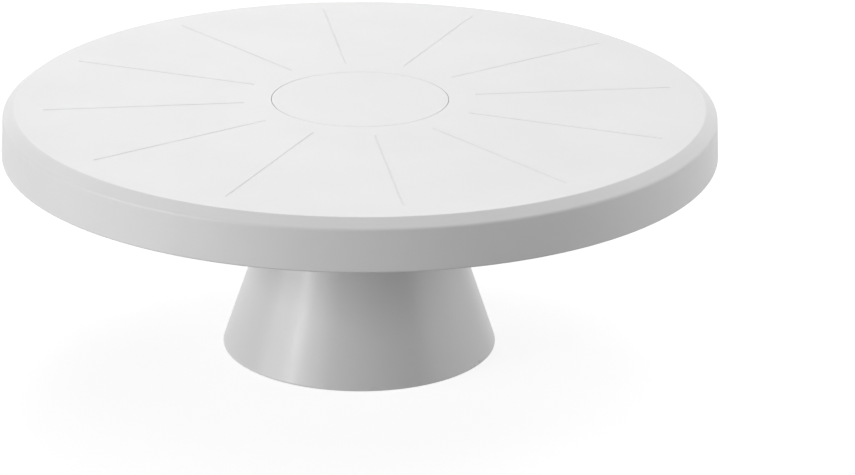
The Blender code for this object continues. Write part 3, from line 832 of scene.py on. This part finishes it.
def make_spindle(material):
    radius, hole = SPINDLE_RADIUS, SCREW_RADIUS + GAP
    neck = SPINDLE_BOTTOM + 2.0 * MM
    head_top = SPINDLE_BOTTOM + SPINDLE_HEAD
    hole_bottom = SPINDLE_TOP - 14.0 * MM
    corners = [
        (0.0, neck),
        (radius, neck),
        (radius, SPINDLE_TOP - 0.6 * MM),
        (radius - 0.6 * MM, SPINDLE_TOP),
        (hole + 0.3 * MM, SPINDLE_TOP),
        (hole, SPINDLE_TOP - 0.3 * MM),
        (hole, hole_bottom),
        (0.0, hole_bottom - 1.0 * MM),
    ]
    spindle = turned("spindle_pin", corners, 96, material)
    head = hexagon("spindle_head", 14.0 * MM, SPINDLE_BOTTOM, head_top, 0.35 * MM)
    return combined(spindle, [("UNION", head)])


def make_washer(material):
    inner, outer = SCREW_RADIUS + GAP, radius_of("retaining_washer")
    bottom, top = bottom_of("retaining_washer"), top_of("retaining_washer")
    corners = [
        (inner, bottom, 0.15 * MM),
        (outer, bottom, 0.2 * MM),
        (outer, top, 0.3 * MM),
        (inner, top, 0.2 * MM),
    ]
    return turned("washer_disc", corners, 96, material)


def add_thread(bm, place, radius, bottom, top, pitch, lead_in):
    """Adds a threaded shank as a closed body between two heights. It tapers at the end away from the head.

    The mesh's rings are level. The ridge shifts with the angle, so it climbs one pitch in a turn.
    """
    around, per_turn = 32, 8
    steps = math.ceil((top - bottom) / pitch * per_turn)
    depth, ridge_half, point = 0.55 * pitch, 0.42, 0.55
    rings = []
    for step in range(steps + 1):
        height = bottom + (top - bottom) * step / steps
        ring = []
        for k in range(around):
            angle = 2 * math.pi * k / around
            phase = ((height - bottom) / pitch - k / around) % 1.0
            ridge = max(0.0, 1 - abs(phase - 0.5) / ridge_half)
            from_end = (height - bottom) / lead_in
            from_head = (top - height) / lead_in
            fade = max(0.0, min(1.0, from_end, from_head))
            core = (radius - depth) * (point + (1 - point) * min(1.0, from_end))
            reach = core + depth * ridge * fade
            x, y = place[0] + reach * math.cos(angle), place[1] + reach * math.sin(angle)
            ring.append(bm.verts.new((x, y, height)))
        rings.append(ring)
    loft(bm, rings)


def cross_cutter(name, place, width, reach, tip, mouth):
    """Cross recess cutter that narrows from the screw's face, at height mouth, to its tip."""
    beyond = mouth + (1.0 * MM if mouth > tip else -1.0 * MM)
    levels = ((tip, 0.7, 0.45), (mouth, 1.0, 1.0), (beyond, 1.0, 1.0))
    rings = []
    bm = bmesh.new()
    for height, wide, long in levels:
        half, arm = width / 2 * wide, reach * long
        ring = []
        for quarter in range(4):
            angle = quarter * math.pi / 2
            cos, sin = math.cos(angle), math.sin(angle)
            for x, y in ((half, half), (half, arm), (-half, arm)):
                corner = (place[0] + x * cos - y * sin, place[1] + x * sin + y * cos, height)
                ring.append(bm.verts.new(corner))
        rings.append(ring)
    loft(bm, rings)
    return object_from(bm, name)


def make_retaining_screw(material):
    """Pan head screw with a cross recess, whose thread goes down into the spindle."""
    seat = top_of("retaining_washer") + GAP
    top = top_of("retaining_screw")
    bottom = bottom_of("retaining_screw")
    head = radius_of("retaining_screw")
    flat = seat + 0.45 * (top - seat)
    crown = [(head * x, flat + (top - flat) * y) for x, y in arc((0.0, 0.0), 1.0, 0.0, 90.0, 12)[:-1]]
    corners = [(0.0, seat), (head, seat, 0.3 * MM), *crown, (0.0, top)]
    screw = turned("screw_panhead", corners, 96, material)
    bm = bmesh.new()
    add_thread(bm, (0.0, 0.0), SCREW_RADIUS, bottom, seat + 0.3 * MM, 0.7 * MM, 0.8 * MM)
    thread = object_from(bm, "screw_thread")
    recess = cross_cutter("screw_recess", (0.0, 0.0), 1.1 * MM, 2.4 * MM, top - 1.9 * MM, top)
    return combined(screw, [("UNION", thread), ("DIFFERENCE", recess)])


def make_cover_screw(number, x, y, material):
    """Countersunk screw with a cross recess. Its head is at the bottom."""
    head, shank = 3.0 * MM, 1.5 * MM
    face = COVER_BOTTOM
    under, end = face + 1.8 * MM, face + 12.0 * MM
    thread_start = under - 0.3 * MM
    corners = [(0.0, face), (head, face, 0.08 * MM), (head, face + 0.2 * MM, 0.08 * MM)]
    corners += [(shank, under), (0.0, under)]
    bm = bmesh.new()
    add_turned(bm, rounded(corners), 64, (x, y))
    screw = object_from(bm, f"screw_countersunk_{number}", material)
    bm = bmesh.new()
    add_thread(bm, (x, y), shank, thread_start, end, 0.8 * MM, 1.5 * MM)
    # Turned over about an axis along x, so the thread stays right-handed
    for vert in bm.verts:
        vert.co.y = 2 * y - vert.co.y
        vert.co.z = thread_start + end - vert.co.z
    thread = object_from(bm, "screw_thread")
    recess = cross_cutter("screw_recess", (x, y), 0.8 * MM, 1.75 * MM, face + 1.1 * MM, face)
    return combined(screw, [("UNION", thread), ("DIFFERENCE", recess)])


def make_ballast(material):
    inner, outer = 13.0 * MM, radius_of("ballast_ring")
    bottom, top = bottom_of("ballast_ring"), top_of("ballast_ring")
    corners = [
        (inner, bottom, 0.8 * MM),
        (outer, bottom, 0.8 * MM),
        (outer, top, 1.0 * MM),
        (inner, top, 1.0 * MM),
    ]
    ballast = turned("ballast_casting", corners, 192, material)
    hole, mouth, chamfer = 4.6 * MM, 5.2 * MM, 0.6 * MM
    low, high = bottom - 1 * MM, top + 1 * MM
    cutter = [(0.0, low), (mouth, low), (mouth, bottom), (hole, bottom + chamfer)]
    cutter += [(hole, top - chamfer), (mouth, top), (mouth, high), (0.0, high)]
    return combined(ballast, [("DIFFERENCE", columns_at_bosses("ballast_cutter", cutter, 48))])


def make_cover(material):
    groove_inner, groove_outer = FOOT_INNER - GAP, radius_of("foot_ring") + GAP
    groove_top = top_of("foot_ring") + GAP
    bottom, top = COVER_BOTTOM, COVER_TOP
    corners = [
        (0.0, bottom),
        (8.0 * MM, bottom),
        (groove_inner, bottom, 0.25 * MM),
        (groove_inner, groove_top),
        (groove_outer, groove_top),
        (groove_outer, bottom, 0.25 * MM),
        (COVER_RADIUS, bottom, 0.4 * MM),
        (COVER_RADIUS, top, 0.2 * MM),
        (0.0, top),
    ]
    cover = turned("cover_disc", corners, 192, material)
    hole, mouth = 1.8 * MM, 3.3 * MM
    low, high = bottom - 1 * MM, top + 1 * MM
    sunk = [(0.0, low), (mouth, low), (mouth, bottom + 0.3 * MM)]
    sunk += [(hole, bottom + 1.9 * MM), (hole, high), (0.0, high)]
    return combined(cover, [("DIFFERENCE", columns_at_bosses("cover_cutter", sunk, 48))])


def make_foot(material):
    """Soft ring with rounded lips and a shallow groove in its sole."""
    inner, outer, top = FOOT_INNER, radius_of("foot_ring"), top_of("foot_ring")
    third, groove = (outer - inner) / 3, 0.35 * MM
    corners = [
        (inner, 0.0, 0.4 * MM),
        (inner + third, 0.0, 0.2 * MM),
        (inner + 1.2 * third, groove, 0.15 * MM),
        (outer - 1.2 * third, groove, 0.15 * MM),
        (outer - third, 0.0, 0.2 * MM),
        (outer, 0.0, 0.4 * MM),
        (outer, top, 0.15 * MM),
        (inner, top, 0.15 * MM),
    ]
    return turned("foot_sole", corners, 192, material)


# ---------------------------------------------------------------- assembly


def make_object():
    plate_material = plate_plastic()
    base_material = base_plastic()
    steel = turned_steel("steel", (0.56, 0.56, 0.58), 0.32)
    bearing_steel = turned_steel("bearing_steel", (0.66, 0.67, 0.69), 0.14, 0.05 * MM)
    cage_material = nylon("nylon", (0.80, 0.77, 0.68), 0.42)
    bush_material = nylon("acetal", (0.03, 0.03, 0.033), 0.35)

    finish_piece(make_plate(plate_material), "plate", "turntable_plate")
    finish_piece(make_cap(plate_material), "plate", "centre_cap")
    finish_piece(make_bush(bush_material), "plate", "hub_bush")
    upper = make_race("race_upper", RACE_CEILING, -1, bearing_steel)
    finish_piece(upper, "plate", "upper_race")

    lower = make_race("race_lower", RACE_SEAT, 1, bearing_steel)
    finish_piece(lower, "base", "lower_race")
    finish_piece(make_cage(cage_material), "bearing_cage", "ball_cage")
    for index, (_, x, y) in enumerate(ring_points(BALL_COUNT, TRACK_RADIUS)):
        ball = make_ball(index + 1, x, y, bearing_steel)
        finish_piece(ball, "bearing_cage", f"ball_{index + 1:02d}")

    finish_piece(make_base(base_material), "base", "base_shell")
    finish_piece(make_cover(cover_plastic()), "base", "base_cover")
    finish_piece(make_foot(rubber()), "base", "foot_ring")
    finish_piece(make_ballast(cast_iron()), "base", "ballast_ring")
    finish_piece(make_spindle(steel), "base", "spindle")
    finish_piece(make_washer(steel), "base", "retaining_washer")
    finish_piece(make_retaining_screw(steel), "base", "retaining_screw")
    for index, (_, x, y) in enumerate(ring_points(BASE_RIBS, BOSS_CIRCLE, BASE_RIB_PHASE)):
        screw = make_cover_screw(index + 1, x, y, steel)
        finish_piece(screw, "base", f"cover_screw_{index + 1}")


# ---------------------------------------------------------------- stage, light and camera


def make_floor():
    """A white sweep: a wide floor, a curve, and a wall far behind the object.

    It glows a little, as a light table does, so shadows on it stay faint. Diffuse rays pass through it,
    so the world lights the object from below.
    """
    reach, rise, bend = 4.0, 4.0, 1.2
    section = [(-reach, 0.0), (reach - bend, 0.0)]
    section += [(reach - bend + x, bend + y) for x, y in arc((0.0, 0.0), bend, -90.0, 0.0, 16)]
    section.append((reach, rise))
    bm = bmesh.new()
    rows = [[bm.verts.new((x, y, z)) for y, z in section] for x in (-reach, reach)]
    for k in range(len(section) - 1):
        bm.faces.new([rows[0][k], rows[1][k], rows[1][k + 1], rows[0][k + 1]])
    n = Nodes("floor")
    paper = n.colours(n.noise(0.3), (0.31, 0.31, 0.31), (0.33, 0.33, 0.33))
    n.feed(n.shader.inputs["Base Color"], paper)
    n.feed(n.shader.inputs["Roughness"], n.spread(n.noise(0.02), 0.3, 0.7, 0.8, 0.9))
    n.shader.inputs["Emission Color"].default_value = (1.0, 1.0, 1.0, 1.0)
    n.shader.inputs["Emission Strength"].default_value = 0.80
    floor = object_from(bm, "floor", n.material)
    floor.visible_diffuse = False


def area_light(name, watts, size, azimuth, elevation):
    """Soft light that looks at the object. Azimuth 0 is the camera's side, and it grows to the right."""
    data = bpy.data.lights.new(name, "AREA")
    data.shape = "RECTANGLE"
    data.size, data.size_y = size
    data.energy = watts
    lamp = bpy.data.objects.new(name, data)
    turn, rise = math.radians(azimuth), math.radians(elevation)
    away = Vector((math.sin(turn) * math.cos(rise), -math.cos(turn) * math.cos(rise), math.sin(rise)))
    lamp.location = Vector((0.0, 0.0, LIGHT_AIM)) + LIGHT_DISTANCE * away
    lamp.rotation_euler = away.to_track_quat("Z", "Y").to_euler()
    bpy.context.scene.collection.objects.link(lamp)


def make_light():
    """Soft boxes round the object, strongest from the left and the back, and a strip at the left.

    The surroundings light the object weakly, and look white behind it.
    """
    world = bpy.data.worlds.new("studio")
    bpy.context.scene.world = world
    world.use_nodes = True
    nodes, links = world.node_tree.nodes, world.node_tree.links
    shade = nodes["Background"]
    shade.inputs["Color"].default_value = (1.0, 1.0, 1.0, 1.0)
    strength = nodes.new("ShaderNodeMapRange")
    strength.inputs["To Min"].default_value = 0.18
    strength.inputs["To Max"].default_value = 0.87
    links.new(nodes.new("ShaderNodeLightPath").outputs["Is Camera Ray"], strength.inputs["Value"])
    links.new(strength.outputs["Result"], shade.inputs["Strength"])
    square = (0.8, 0.8)
    area_light("left_front", 4.4, square, -45, 14)
    area_light("left_strip", 4.85, (0.12, 0.8), -57, 14)
    area_light("left", 6.35, square, -75, 14)
    area_light("left_back", 1.4, square, -165, 14)
    area_light("right", 3.9, square, 75, 14)
    area_light("right_back", 5.0, square, 105, 14)
    area_light("right_high", 3.3, square, 120, 45)
    area_light("back_high", 9.15, square, 180, 45)
    area_light("overhead", 4.7, (1.6, 1.6), 0, 88)


def make_camera():
    data = bpy.data.cameras.new("camera")
    data.lens = 137.14
    data.sensor_width = 36.0
    data.shift_x = 0.0794
    pitch = Matrix.Rotation(math.radians(69.573), 4, "X")
    roll = Matrix.Rotation(math.radians(0.182), 4, "Z")
    camera = bpy.data.objects.new("camera", data)
    camera.matrix_world = Matrix.Translation((0.0, -0.989, 0.4036)) @ pitch @ roll
    bpy.context.scene.collection.objects.link(camera)
    bpy.context.scene.camera = camera


make_object()
make_floor()
make_light()
make_camera()
bpy.context.scene.view_settings.view_transform = "Standard"
